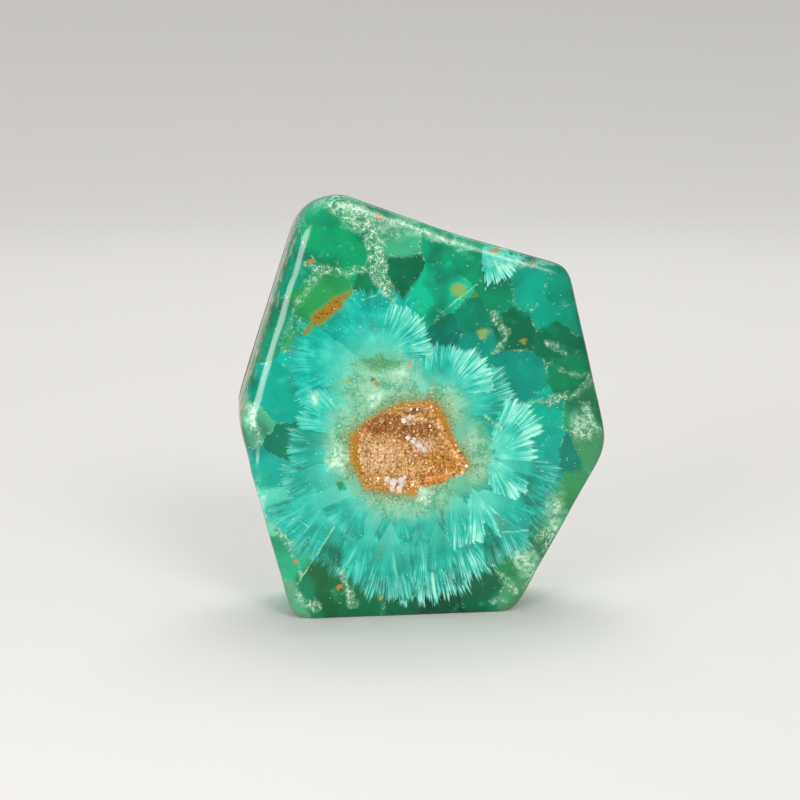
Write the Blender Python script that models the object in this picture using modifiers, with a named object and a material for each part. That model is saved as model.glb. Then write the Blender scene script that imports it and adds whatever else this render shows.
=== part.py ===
"""A polished smithsonite freeform: a thick slab of green stone, ground flat at the foot so that it stands.

It is built the way a lapidary makes one. A slab is sawn to the outline, facets are ground on its back,
its sides and its top, and tumbling rounds every edge. A shallow vug opens in the front face, and a crust
of small brown crystals lines it.

Metres, +Z up. The front face looks along -Y, and the origin is at the middle of the foot.
"""

from math import ceil, radians, tan
from random import Random

import bmesh
import bpy
from mathutils import Matrix, Vector

MM = 0.001

# The slab, in millimetres.
DEPTH = 34.0
FRONT_LEAN = 3.0  # degrees that the front face leans back

# The outline of the front face, clockwise from the foot: name, across, up, corner radius.
OUTLINE = (
    ("foot_left", -32.0, 0.0, 5.0),
    ("left_corner", -44.7, 45.2, 12.0),
    ("crown", -26.5, 103.5, 9.0),
    ("top_dip", 7.4, 91.1, 90.0),
    ("shoulder", 35.5, 82.9, 3.8),
    ("right_corner", 45.3, 39.8, 10.0),
    ("foot_right", 22.0, 0.0, 3.6),
)
ARC_STEP = 7.5  # degrees between the points of a corner's arc

# The facets ground after sawing: name, a point on the facet (across, back, up), and the way it faces.
FACETS = (
    ("left_lower_side", (-32.0, -17.0, 0.0), (-0.955, 0.17, -0.265)),
    ("left_back_rind", (-39.4, 8.4, 52.0), (-0.90, 0.42, 0.26)),
    ("back_lower", (0.0, 17.0, 22.0), (0.04, 0.995, -0.08)),
    ("back_middle", (0.0, 16.6, 50.0), (-0.05, 0.995, 0.06)),
    ("back_upper", (0.0, 13.4, 78.0), (-0.10, 0.955, 0.28)),
    ("back_right", (30.0, 13.5, 45.0), (0.46, 0.885, 0.05)),
    ("right_back_corner", (42.0, 4.0, 36.0), (0.93, 0.33, -0.16)),
)
TOP_FALL = 6.0  # how much lower the top lies at the back than at the front
TOP_FROM = 60.0  # the height where the stone begins to fall towards the back
SAW_MARGIN = 4.0  # how much deeper than the finished stone the slab is sawn, at front and back

# The rounding of the edges: the ground block becomes an even net, and each pass wears the net's corners.
NET = 0.75  # the size of the net's cells
WEAR = 0.5  # how far a pass moves a point towards the middle of its neighbours
WEAR_PASSES = 26
SOFT_EDGE_PASSES = 60  # more, along the long soft edge between the front face and the upper left side
SOFT_EDGE_REACH = 7.0  # how far those passes reach from that edge
SOFT_EDGE_SPAN = (-0.16, 1.0)  # where they run, in shares of the way from the left corner to the crown
FOOT_CUT = 0.3  # how much is ground off the foot at the end, to make it flat again
STONE_TRIANGLES = 5200
WELD = 0.001  # points closer than this are one

# The vug: its middle on the front face (across, up along the face), and its outline from there.
VUG_MIDDLE = (-3.0, 39.5)
VUG_OUTLINE = (
    (-12.4, 3.6), (-10.2, 7.4), (-5.8, 9.5), (0.6, 9.8), (6.0, 8.3), (8.4, 5.0), (9.6, 1.6), (12.4, -0.8),
    (13.4, -4.6), (9.6, -6.6), (4.6, -8.4), (-0.2, -8.8), (-3.2, -9.9), (-6.6, -7.8), (-10.4, -6.2),
    (-12.6, -1.6),
)
VUG_DEPTH = 2.4
VUG_FLOOR = 0.93  # the floor's width as a share of the mouth's
VUG_RELEASE = 2.0  # how far the cutter stands out of the front face

# The crust: crystals that grow from the vug's floor and lean on its walls.
CRUST_GAP = 0.3  # between the crust and the stone
CRYSTAL_SIZE = 0.95
CRYSTAL_FEET = 1.75  # how deep under the front face the grooves between the crystals lie
CRYSTAL_HEIGHTS = (0.15, 1.35)
CRYSTAL_JITTER = 0.32  # how far a crystal's corner may wander, as a share of its size
SEED = 11

# Colours, and how rough each surface is.
POLISHED_GREEN = (0.03, 0.42, 0.27, 1.0)
POLISH = 0.12
CRYSTAL_BROWN = (0.40, 0.19, 0.06, 1.0)
CRYSTAL_FACE = 0.35


def clear_scene():
    for obj in list(bpy.data.objects):
        bpy.data.objects.remove(obj, do_unlink=True)


def make_collection(name):
    collection = bpy.data.collections.new(name)
    bpy.context.scene.collection.children.link(collection)
    return collection


def make_material(name, colour, roughness):
    material = bpy.data.materials.new(name)
    material.use_nodes = True
    shader = material.node_tree.nodes["Principled BSDF"]
    shader.inputs["Base Color"].default_value = colour
    shader.inputs["Roughness"].default_value = roughness
    shader.inputs["Metallic"].default_value = 0.0
    return material


def make_object(name, mesh, collection):
    obj = bpy.data.objects.new(name, mesh)
    collection.objects.link(obj)
    return obj


def to_mesh(name, bm):
    mesh = bpy.data.meshes.new(name)
    bm.to_mesh(mesh)
    bm.free()
    return mesh


def evaluated_mesh(obj):
    """The object's mesh with its modifiers applied. The object itself goes."""
    bpy.context.view_layer.update()
    mesh = bpy.data.meshes.new_from_object(obj.evaluated_get(bpy.context.evaluated_depsgraph_get()))
    bpy.data.objects.remove(obj)
    return mesh


def front_at(up):
    """How far forward the leaning front face stands at a height, in millimetres."""
    return -DEPTH / 2 + up * tan(radians(FRONT_LEAN))


def front_frame():
    """The front face's own axes: X across, Y up along the face and Z out of it, from the foot's edge."""
    lean = Matrix.Rotation(radians(90.0 - FRONT_LEAN), 4, "X")
    return Matrix.Translation((0.0, front_at(0.0) * MM, 0.0)) @ lean


def fillet(before, corner, after, radius):
    """The points of the arc that rounds a corner, on either a convex or a concave side."""
    to_before = (before - corner).normalized()
    to_after = (after - corner).normalized()
    opening = to_before.angle(to_after)
    setback = radius / tan(opening / 2)
    start = corner + to_before * setback
    end = corner + to_after * setback
    centre = corner + (to_before + to_after).normalized() * (radius**2 + setback**2) ** 0.5
    turn = (start - centre).angle_signed(end - centre)
    steps = max(2, ceil(abs(turn) / radians(ARC_STEP)))
    return [centre + Matrix.Rotation(-turn * k / steps, 2) @ (start - centre) for k in range(steps + 1)]


def rounded_outline():
    corners = [Vector((across, up)) for _, across, up, _ in OUTLINE]
    points = []
    for k, (_, _, _, radius) in enumerate(OUTLINE):
        points += fillet(corners[k - 1], corners[k], corners[(k + 1) % len(corners)], radius)
    return points


def flat_solid(points, thickness, smooth=False):
    """A closed outline in X and Y, extruded along Z about its middle: millimetres in, metres out."""
    curve = bpy.data.curves.new("outline", "CURVE")
    curve.dimensions = "2D"
    curve.fill_mode = "BOTH"
    curve.extrude = thickness / 2 * MM
    if smooth:
        curve.resolution_u = 4
        spline = curve.splines.new("BEZIER")
        knots = spline.bezier_points
        knots.add(len(points) - 1)
        for knot, (across, up) in zip(knots, points):
            knot.co = (across * MM, up * MM, 0.0)
            knot.handle_left_type = "AUTO"
            knot.handle_right_type = "AUTO"
    else:
        spline = curve.splines.new("POLY")
        spline.points.add(len(points) - 1)
        for knot, (across, up) in zip(spline.points, points):
            knot.co = (across * MM, up * MM, 0.0, 1.0)
    spline.use_cyclic_u = True
    mesh = evaluated_mesh(make_object("outline", curve, bpy.context.scene.collection))
    bm = bmesh.new()
    bm.from_mesh(mesh)
    bmesh.ops.remove_doubles(bm, verts=bm.verts, dist=WELD * MM)
    bmesh.ops.recalc_face_normals(bm, faces=bm.faces)
    return bm


def grind(bm, point, facing):
    """Grinds a flat facet: what stands beyond the plane goes, and the cut is closed."""
    cut = bmesh.ops.bisect_plane(
        bm,
        geom=bm.verts[:] + bm.edges[:] + bm.faces[:],
        dist=WELD * MM / 10,
        plane_co=Vector(point) * MM,
        plane_no=Vector(facing).normalized(),
        clear_outer=True,
    )
    rim = [e for e in cut["geom_cut"] if isinstance(e, bmesh.types.BMEdge)]
    bmesh.ops.contextual_create(bm, geom=rim)


def ground_block():
    """The slab, sawn to its outline and ground to its facets, with every edge still sharp."""
    bm = flat_solid(rounded_outline(), DEPTH + 2 * SAW_MARGIN)
    bmesh.ops.rotate(bm, verts=bm.verts, matrix=Matrix.Rotation(radians(90.0), 3, "X"))
    bmesh.ops.dissolve_limit(bm, angle_limit=radians(0.5), verts=bm.verts, edges=bm.edges)
    grind(bm, (0.0, front_at(0.0), 0.0), (0.0, -1.0, tan(radians(FRONT_LEAN))))
    for _, point, facing in FACETS:
        grind(bm, point, facing)
    return to_mesh("block", bm)


def by_soft_edge(point):
    """Whether a point is near the long edge between the front face and the upper left side."""
    across, back, up = point / MM
    (_, left_across, left_up, _), (_, crown_across, crown_up, _) = OUTLINE[1:3]
    share = (up - left_up) / (crown_up - left_up)
    edge_across = left_across + (crown_across - left_across) * share
    near = abs(across - edge_across) < SOFT_EDGE_REACH and back < front_at(up) + SOFT_EDGE_REACH
    return near and SOFT_EDGE_SPAN[0] < share < SOFT_EDGE_SPAN[1]


def slope_top(bm):
    """Lets the top fall towards the back, more the higher it is, so that its long hollow edge stays in front."""
    crown_up = OUTLINE[2][2]
    for vert in bm.verts:
        up = vert.co.z / MM
        share = max(up - TOP_FROM, 0.0) / (crown_up - TOP_FROM)
        behind = max(vert.co.y / MM - front_at(up), 0.0) / DEPTH
        vert.co.z -= TOP_FALL * share * behind * MM


def wear(bm, verts, passes):
    for _ in range(passes):
        bmesh.ops.smooth_vert(
            bm, verts=verts, factor=WEAR, use_axis_x=True, use_axis_y=True, use_axis_z=True
        )


def worn_block():
    """The ground block with its edges rounded, in as few triangles as show them, and a flat foot."""
    block = make_object("block", ground_block(), bpy.context.scene.collection)
    net = block.modifiers.new("net", "REMESH")
    net.mode = "VOXEL"
    net.voxel_size = NET * MM
    bm = bmesh.new()
    bm.from_mesh(evaluated_mesh(block))
    slope_top(bm)
    wear(bm, bm.verts[:], WEAR_PASSES)
    wear(bm, [v for v in bm.verts if by_soft_edge(v.co)], SOFT_EDGE_PASSES)
    net_triangles = 2 * len(bm.faces)

    worn = make_object("worn", to_mesh("worn", bm), bpy.context.scene.collection)
    fewer = worn.modifiers.new("fewer_faces", "DECIMATE")
    fewer.ratio = STONE_TRIANGLES / net_triangles
    bm = bmesh.new()
    bm.from_mesh(evaluated_mesh(worn))
    grind(bm, (0.0, 0.0, FOOT_CUT), (0.0, 0.0, -1.0))
    return bm


def to_foot(bm):
    """The move that brings the bottom of the stone's box, at its middle, to the origin."""
    lowest = Vector([min(v.co[k] for v in bm.verts) for k in range(3)])
    highest = Vector([max(v.co[k] for v in bm.verts) for k in range(3)])
    middle = (lowest + highest) / 2
    return Matrix.Translation((-middle.x, -middle.y, -lowest.z))


def vug_room(frame, gap):
    """The vug's space, or what is left of it when its walls and its floor stand in by a gap."""
    reach = min(Vector(point).length for point in VUG_OUTLINE)
    thickness = VUG_DEPTH - gap + VUG_RELEASE
    bm = flat_solid(VUG_OUTLINE, thickness, smooth=True)
    bmesh.ops.scale(bm, vec=(1.0 - gap / reach, 1.0 - gap / reach, 1.0), verts=bm.verts)
    floor = [v for v in bm.verts if v.co.z < 0.0]
    bmesh.ops.scale(bm, vec=(VUG_FLOOR, VUG_FLOOR, 1.0), verts=floor)
    place = Vector((*VUG_MIDDLE, VUG_RELEASE - thickness / 2)) * MM
    bmesh.ops.transform(bm, verts=bm.verts, matrix=frame @ Matrix.Translation(place))
    return bm


def make_cutter(name, bm, collection):
    cutter = make_object(name, to_mesh(name, bm), collection)
    cutter.hide_render = True
    cutter.display_type = "WIRE"
    return cutter


def build_stone(bm, cutter, collection, material):
    mesh = to_mesh("stone", bm)
    mesh.materials.append(material)
    stone = make_object("stone", mesh, collection)
    hollow = stone.modifiers.new("vug", "BOOLEAN")
    hollow.operation = "DIFFERENCE"
    hollow.object = cutter


def crystal_bed(frame):
    """A block whose top is a bed of four-sided crystals of uneven height, wider than the vug."""
    random = Random(SEED)
    half_width = max(abs(across) for across, _ in VUG_OUTLINE) + CRYSTAL_SIZE
    cells = ceil(2 * half_width / CRYSTAL_SIZE)
    bm = bmesh.new()
    bmesh.ops.create_grid(bm, x_segments=cells, y_segments=cells, size=half_width * MM)
    for vert in bm.verts:
        if not vert.is_boundary:
            vert.co.x += random.uniform(-1, 1) * CRYSTAL_JITTER * CRYSTAL_SIZE * MM
            vert.co.y += random.uniform(-1, 1) * CRYSTAL_JITTER * CRYSTAL_SIZE * MM
            vert.co.z += random.uniform(-1, 1) * CRYSTAL_HEIGHTS[0] * MM
    tips = bmesh.ops.poke(bm, faces=bm.faces)["verts"]
    for tip in tips:
        tip.co.z += random.triangular(*CRYSTAL_HEIGHTS) * MM
    rim = [e for e in bm.edges if e.is_boundary]
    skirt = bmesh.ops.extrude_edge_only(bm, edges=rim)["geom"]
    underside = [v for v in skirt if isinstance(v, bmesh.types.BMVert)]
    for vert in underside:
        vert.co.z = -VUG_DEPTH * MM
    bmesh.ops.contextual_create(bm, geom=[e for e in bm.edges if e.is_boundary])
    bmesh.ops.recalc_face_normals(bm, faces=bm.faces)
    place = Vector((*VUG_MIDDLE, -CRYSTAL_FEET)) * MM
    bmesh.ops.transform(bm, verts=bm.verts, matrix=frame @ Matrix.Translation(place))
    return bm


def build_crust(frame, room, collection, material):
    mesh = to_mesh("druzy_crust", crystal_bed(frame))
    mesh.materials.append(material)
    crust = make_object("druzy_crust", mesh, collection)
    trimmed = crust.modifiers.new("vug_walls", "BOOLEAN")
    trimmed.operation = "INTERSECT"
    trimmed.object = room


def main():
    clear_scene()
    collection = make_collection("smithsonite_freeform")
    cutters = make_collection("cutters")
    block = worn_block()
    move = to_foot(block)
    bmesh.ops.transform(block, verts=block.verts, matrix=move)
    frame = move @ front_frame()
    vug = make_cutter("vug_space", vug_room(frame, 0.0), cutters)
    build_stone(block, vug, collection, make_material("polished_stone", POLISHED_GREEN, POLISH))
    room = make_cutter("crust_space", vug_room(frame, CRUST_GAP), cutters)
    build_crust(frame, room, collection, make_material("brown_crystals", CRYSTAL_BROWN, CRYSTAL_FACE))
    bpy.context.view_layer.update()


main()
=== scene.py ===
# %% [markdown]
# A polished smithsonite freeform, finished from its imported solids. The solids give the stone its size and
# its ground facets. These cells give it its polish, the crystal fans inside it, and the sugar of small brown
# crystals in its hollow. The first cell loads the solids as a fixed frame and keeps their box.

# %% The frame
from math import cos, radians, sin
from random import Random

import bmesh
import bpy
from mathutils import Color, Matrix, Vector, noise
from mathutils.bvhtree import BVHTree
from mathutils.geometry import intersect_line_plane


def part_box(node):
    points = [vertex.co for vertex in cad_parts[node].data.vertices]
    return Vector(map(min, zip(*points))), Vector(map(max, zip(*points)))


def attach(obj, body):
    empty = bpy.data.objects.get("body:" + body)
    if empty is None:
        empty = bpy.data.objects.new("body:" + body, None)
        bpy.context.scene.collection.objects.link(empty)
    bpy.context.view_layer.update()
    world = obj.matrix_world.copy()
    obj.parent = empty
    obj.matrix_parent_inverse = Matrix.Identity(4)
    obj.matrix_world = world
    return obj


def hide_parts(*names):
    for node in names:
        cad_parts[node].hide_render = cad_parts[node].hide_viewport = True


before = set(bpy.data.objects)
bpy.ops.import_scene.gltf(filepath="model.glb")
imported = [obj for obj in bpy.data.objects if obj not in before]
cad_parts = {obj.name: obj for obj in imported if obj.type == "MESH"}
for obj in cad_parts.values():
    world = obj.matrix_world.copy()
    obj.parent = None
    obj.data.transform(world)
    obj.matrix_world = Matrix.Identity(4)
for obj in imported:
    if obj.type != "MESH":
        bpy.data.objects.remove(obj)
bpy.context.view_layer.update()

MM = 0.001
for name in sorted(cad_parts):
    low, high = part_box(name)
    print(name, "measures", [round(side / MM, 1) for side in high - low], "mm")

# %% [markdown]
# The camera comes first, because the marks in the stone are placed by looking through it. The photograph
# was taken from a little left of the face and a little above, with a long lens: the side edges hardly
# converge. A 100 mm lens at half a metre gives that view.

# %% The camera
AZIMUTH = radians(-9.0)  # the camera stands to the left of straight ahead
ELEVATION = radians(8.0)
AWAY = 522.9 * MM
LOOKS_AT = Vector((-6.25, -14.38, 51.45)) * MM
LENS = 100.0
SENSOR = 36.0

back = Vector((sin(AZIMUTH) * cos(ELEVATION), -cos(AZIMUTH) * cos(ELEVATION), sin(ELEVATION)))
camera = bpy.data.objects.new("camera", bpy.data.cameras.new("camera"))
bpy.context.scene.collection.objects.link(camera)
bpy.context.scene.camera = camera
camera.data.lens = LENS
camera.data.sensor_width = SENSOR
camera.data.clip_start = 0.01
camera.location = LOOKS_AT + back * AWAY
camera.rotation_mode = "QUATERNION"
camera.rotation_quaternion = back.to_track_quat("Z", "Y")
print("the camera stands at", [round(side / MM) for side in camera.location], "mm")

# %% [markdown]
# Every fan and vein lies at or just under the polished front face, so a pixel of the photograph names one
# place on it. This helper casts a ray through the pixel and meets the leaning face. Its answer is in the
# face's own millimetres: across, behind the face, and up along it. The same three numbers come back later
# from the material's coordinates, so a mark lands where the photograph shows it.

# %% From a pixel to the face
PHOTO = 800  # the photograph's sides in pixels
FACE_LEAN = radians(3.0)  # the face leans back
FACE_FOOT = -17.4  # where the face would meet the floor, in millimetres along Y

face_out = Vector((0.0, -cos(FACE_LEAN), sin(FACE_LEAN)))
face_point = Vector((0.0, FACE_FOOT * MM, 0.0))
to_face = Matrix.Rotation(FACE_LEAN, 4, "X")
face_shift = -(to_face @ Vector((0.0, FACE_FOOT, 0.0)))


def on_face(across, down):
    """Where a pixel of the photograph meets the face, in the face's millimetres."""
    sight = Vector((across - PHOTO / 2, PHOTO / 2 - down, -PHOTO * LENS / SENSOR))
    ray = camera.rotation_quaternion @ sight
    hit = intersect_line_plane(camera.location, camera.location + ray, face_point, face_out)
    return to_face @ (hit / MM) + face_shift


def from_face(place):
    """A place in the face's millimetres as a place in the scene, in metres."""
    return to_face.inverted() @ (place - face_shift) * MM


BROWN_MIDDLE = on_face(408, 448)
PIXEL = (on_face(409, 448) - BROWN_MIDDLE).length
print("the brown middle lies", [round(side, 1) for side in BROWN_MIDDLE], "mm, a pixel is", round(PIXEL, 3), "mm")

# %% [markdown]
# The stone was tumbled and polished, so it has no flat triangles and no sharp edge, while the solid has
# 5,200 triangles. The piece could be subdivided, which keeps the long triangles' dents. Here a merged copy
# gets an even net from the Remesh modifier, and smoothing passes then take out the facets. The hollow's
# walls and the foot keep their place, so they get fewer passes or none.

# %% The polished stone
WELD = 0.001
NET = 0.52
POLISH_PASSES = 16
RIM_PASSES = 3
FOOT_HEIGHT = 0.35
SWELL = 0.05  # how deep the polishing wheel's slow waves are
SWELL_LENGTH = 9.0


def merged_copy(node):
    """A bmesh of a node, its loose triangles merged."""
    shape = bmesh.new()
    shape.from_mesh(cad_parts[node].data)
    bmesh.ops.remove_doubles(shape, verts=shape.verts, dist=WELD * MM)
    return shape


def to_object(name, shape):
    mesh = bpy.data.meshes.new(name)
    shape.to_mesh(mesh)
    shape.free()
    piece = bpy.data.objects.new(name, mesh)
    bpy.context.scene.collection.objects.link(piece)
    return piece


def evaluated(piece):
    """The piece's mesh with its modifiers applied. The piece goes."""
    bpy.context.view_layer.update()
    mesh = bpy.data.meshes.new_from_object(piece.evaluated_get(bpy.context.evaluated_depsgraph_get()))
    bpy.data.objects.remove(piece)
    return mesh


def smooth(shape, verts, passes):
    for _ in range(passes):
        bmesh.ops.smooth_vert(
            shape, verts=verts, factor=0.5, use_axis_x=True, use_axis_y=True, use_axis_z=True
        )


crust_bed = merged_copy("druzy_crust")
crust_tree = BVHTree.FromBMesh(crust_bed)

netted = to_object("net", merged_copy("stone"))
net = netted.modifiers.new("net", "REMESH")
net.mode = "VOXEL"
net.voxel_size = NET * MM
stone_shape = bmesh.new()
stone_shape.from_mesh(evaluated(netted))

in_hollow = []
outside = []
for vert in stone_shape.verts:
    near = crust_tree.find_nearest(vert.co, 1.3 * MM)[0] is not None
    if near:
        in_hollow.append(vert)
    elif vert.co.z > FOOT_HEIGHT * MM:
        outside.append(vert)
smooth(stone_shape, outside, POLISH_PASSES)
smooth(stone_shape, in_hollow, RIM_PASSES)
for vert in outside:
    wave = noise.noise(vert.co / (SWELL_LENGTH * MM))
    vert.co -= vert.normal * (0.5 + 0.5 * wave) * SWELL * MM
stone_tree = BVHTree.FromBMesh(stone_shape)
stone = to_object("polished_stone", stone_shape)
stone.data.shade_smooth()
print("the polished stone has", 2 * len(stone.data.polygons), "triangles")

# %% [markdown]
# Round the hollow the stone is stained golden brown, in a shape with straight sides. Such a shape is where
# the largest of several distances to lines is below 0, so a few corners in a row are enough to say it. The
# same helpers take a plain position here and a shader's position later.

# %% The stain's shape
STAIN = (
    (349, 458), (350, 437), (366, 420), (400, 404), (430, 400), (441, 408), (468, 466), (459, 475),
    (420, 487), (403, 494), (364, 489),
)
SMOOTH_STAIN = (("left", (352, 456), (10, 34)), ("upper right", (448, 420), (12, 30)))


def stain_gaps(place):
    """The distances to the lines through the stain's sides. All are less than 0 inside it."""
    corners = [on_face(*pixel) for pixel in STAIN]
    middle = sum(corners, Vector()) / len(corners)
    for first, second in zip(corners, corners[1:] + corners[:1]):
        out = (second - first).cross(Vector((0.0, 1.0, 0.0))).normalized()
        if out.dot(first - middle) < 0.0:
            out.negate()
        yield place.dot(out) - out.dot(first)


def in_oval(place, pixel, sides):
    """A place seen from an oval on the face: 1 long at its border. Depth counts little."""
    stretch = Vector((1.0 / (sides[0] * PIXEL), 0.25, 1.0 / (sides[1] * PIXEL)))
    return (place - on_face(*pixel)) * stretch


print("the stain has", len(STAIN), "corners")

# %% [markdown]
# The hollow's crust is a sugar of tiny crystals. Each one is a rhombohedron, the crystal shape of
# smithsonite: a cube pulled along the line through two of its corners, standing on one of them. The solid
# crust gives the larger lumps. Rays cast at it from the front find where each grain stands. Grains also fill
# the thin gap between the crust and the stone, and sit half sunk on the stain beside it, except where the
# stain is smooth. A fixed seed makes the same sugar each time.

# %% The sugar of crystals
GRAIN_STEP = 0.40
GRAIN_SIZE = (0.26, 0.50)
GRAIN_LEAN = radians(38.0)
GRAIN_PULL = 1.25
LOOK_FROM = 3.0  # how far in front of the face a ray starts
SEED = 5
HANDFUL = 120
RIM_DEPTH = 0.3  # the hollow's wall is where the stone lies between these depths under the face
FLOOR_DEPTH = 2.28

random = Random(SEED)
corner_up = Vector((1.0, 1.0, 1.0)).rotation_difference(Vector((0.0, 0.0, 1.0))).to_matrix().to_4x4()
pull = Matrix.Diagonal((1.0, 1.0, GRAIN_PULL, 1.0))
out_up = face_out.to_track_quat("Z", "Y").to_matrix().to_4x4()
tint_layer = crust_bed.verts.layers.float.new("tint")
pale_layer = crust_bed.verts.layers.float.new("pale")
for vert in crust_bed.verts:
    vert[tint_layer] = 0.35


def add_grain(shape, foot, size, tint, pale=0.0, lean=GRAIN_LEAN):
    """One crystal with its middle at a place in the scene, leaning at random from the face's normal."""
    tilt = Matrix.Rotation(random.uniform(-lean, lean), 4, "X") @ Matrix.Rotation(
        random.uniform(-lean, lean), 4, "Y"
    )
    turn = Matrix.Rotation(radians(random.uniform(0.0, 120.0)), 4, "Z")
    matrix = Matrix.Translation(foot) @ out_up @ tilt @ turn @ pull @ corner_up
    corners = bmesh.ops.create_cube(shape, size=size * MM, matrix=matrix)["verts"]
    for vert in corners:
        vert[shape.verts.layers.float["tint"]] = tint
        vert[shape.verts.layers.float["pale"]] = pale


def add_handful(feet):
    """Some grains, made in a small mesh of their own, which is quicker, and then added to the crust."""
    handful = bmesh.new()
    handful.verts.layers.float.new("tint")
    handful.verts.layers.float.new("pale")
    for foot, share in feet:
        add_grain(handful, foot, share * random.triangular(*GRAIN_SIZE), random.random())
    mesh = bpy.data.meshes.new("handful")
    handful.to_mesh(mesh)
    handful.free()
    crust_bed.from_mesh(mesh)
    bpy.data.meshes.remove(mesh)


low, high = (to_face @ (corner / MM) + face_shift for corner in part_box("druzy_crust"))
grains = []
across = low.x - 3.0
while across < high.x + 3.0:
    up = low.z - 3.0
    while up < high.z + 3.0:
        jitter = Vector((random.uniform(-0.5, 0.5), 0.0, random.uniform(-0.5, 0.5))) * GRAIN_STEP
        here = Vector((across, 0.0, up)) + jitter
        start = from_face(here - Vector((0.0, LOOK_FROM, 0.0)))
        on_crust = crust_tree.ray_cast(start, -face_out)[0]
        on_stone = stone_tree.ray_cast(start, -face_out)[0]
        below = (on_stone - start).length / MM - LOOK_FROM
        if on_crust:
            grains.append((on_crust, 1.0))
        if RIM_DEPTH < below < FLOOR_DEPTH:
            grains.append((start - face_out * (LOOK_FROM + 0.15 + 0.45 * below) * MM, 1.5))
        elif not on_crust and max(stain_gaps(here)) < random.uniform(-0.9, 0.0):
            if all(in_oval(here, *oval[1:]).length > 1.0 for oval in SMOOTH_STAIN):
                grains.append((on_stone - face_out * 0.05 * MM, 0.8))
        up += GRAIN_STEP
    across += GRAIN_STEP
for k in range(0, len(grains), HANDFUL):
    add_handful(grains[k : k + HANDFUL])
print("the sugar has", len(grains), "grains")

# %% [markdown]
# A few larger crystals stand out of the sugar: blocky white ones near the lower edge, and a chain of pinkish
# ones across the middle. They are the same rhombohedra, larger and nearly upright, and a ray finds the sugar
# that each one stands on. Below them a dusting of small white grains runs out over the polished stone. Two
# small white grains at the hollow's upper lip are painted glints: white put where highlights fall.

# %% The pale blocks
PALE_BLOCKS = (
    ("left shard", (388, 480), 1.1, 0.9),
    ("upper block", (394, 483), 1.4, 0.9),
    ("right block", (402, 482), 1.4, 0.9),
    ("lower block", (400, 489), 1.3, 0.9),
    ("small block", (405, 478), 0.8, 0.9),
    ("inner block", (392, 489), 0.9, 0.9),
    ("pink lens", (405, 421), 1.0, 0.3),
    ("pink lens top", (410, 417), 1.0, 0.3),
    ("pink chain start", (409, 438), 0.9, 0.3),
    ("pink chain", (414, 441), 1.1, 0.3),
    ("pink chain middle", (420, 445), 1.2, 0.3),
    ("pink chain low", (425, 450), 1.0, 0.3),
    # painted highlight: two small white grains put where glints fall on the hollow's upper lip
    ("left glint", (411, 409), 0.5, 0.6),
    ("right glint", (417, 409), 0.5, 0.6),
)
FROST_GRAINS = 44
FROST_START = (418, 485)
FROST_END = (428, 503)
for _, pixel, size, lift in PALE_BLOCKS:
    start = from_face(on_face(*pixel) - Vector((0.0, LOOK_FROM, 0.0)))
    foot = crust_tree.ray_cast(start, -face_out)[0] or stone_tree.ray_cast(start, -face_out)[0]
    add_grain(crust_bed, foot + face_out * lift * MM, size, 0.8, 1.0, GRAIN_LEAN / 2)
for k in range(FROST_GRAINS):
    here = on_face(*FROST_START).lerp(on_face(*FROST_END), k / FROST_GRAINS)
    here += Vector((random.gauss(0.0, 0.45), -LOOK_FROM, random.gauss(0.0, 0.45)))
    foot = stone_tree.ray_cast(from_face(here), -face_out)[0]
    add_grain(crust_bed, foot, random.triangular(*GRAIN_SIZE), 0.0, 1.0)
crust = to_object("brown_druzy_crust", crust_bed)
print("the crust has", sum(len(face.vertices) - 2 for face in crust.data.polygons), "triangles")

# %% [markdown]
# The finishes are node trees, and most of what they do is arithmetic on positions. This class lets Python
# write it as sums: it wraps a socket, and each operator adds the Math or Vector Math node that works it out.
# Reflected forms make `1 - mask` work too.


# %% Sums on sockets
def is_vector(value):
    return isinstance(value, Vector) or (isinstance(value, Value) and value.socket.type == "VECTOR")


def is_colour(value):
    return isinstance(value, tuple) or (isinstance(value, Value) and value.socket.type == "RGBA")


class Value:
    """A socket that Python can do sums with."""

    def __init__(self, finish, socket):
        self.finish = finish
        self.socket = socket

    def sum(self, operation, *terms):
        vectors = any(is_vector(term) for term in terms)
        kind = "ShaderNodeVectorMath" if vectors else "ShaderNodeMath"
        return self.finish.node(kind, {"operation": operation}, dict(enumerate(terms)))

    def __add__(self, other):
        return self.sum("ADD", self, other)

    def __radd__(self, other):
        return self.sum("ADD", other, self)

    def __sub__(self, other):
        return self.sum("SUBTRACT", self, other)

    def __rsub__(self, other):
        return self.sum("SUBTRACT", other, self)

    def __mul__(self, other):
        if is_vector(self) == is_vector(other):
            return self.sum("MULTIPLY", self, other)
        vector, share = (self, other) if is_vector(self) else (other, self)
        return self.finish.node("ShaderNodeVectorMath", {"operation": "SCALE"}, {0: vector, 3: share})

    __rmul__ = __mul__

    def __truediv__(self, other):
        return self.sum("DIVIDE", self, other)

    def __gt__(self, other):
        return self.sum("GREATER_THAN", self, other)

    def __lt__(self, other):
        return self.sum("LESS_THAN", self, other)

    def at_least(self, other):
        return self.sum("MAXIMUM", self, other)

    def at_most(self, other):
        return self.sum("MINIMUM", self, other)

    def length(self):
        return self.finish.node("ShaderNodeVectorMath", {"operation": "LENGTH"}, {0: self}, "Value")

    def dot(self, other):
        return self.finish.node("ShaderNodeVectorMath", {"operation": "DOT_PRODUCT"}, {0: self, 1: other}, "Value")

    def part(self, side):
        """The X, Y or Z of a vector."""
        return self.finish.node("ShaderNodeSeparateXYZ", {}, {0: self}, side)

    def step(self, start, end, shape="SMOOTHSTEP"):
        """0 at the start and 1 at the end, whichever of them is larger."""
        settings = {"interpolation_type": shape}
        return self.finish.node("ShaderNodeMapRange", settings, {0: self, 1: start, 2: end})


print("sums on sockets are ready")

# %% [markdown]
# One finish is one material. Its node method adds any kind of node: the settings go in before the sockets,
# because some of them change which sockets there are. Mix takes numbers, vectors or colours. The noise and
# cell methods are short for the two textures that everything here is made of. A long sum goes into a box: a
# node group, which keeps the tree readable and quick to build.


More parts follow.
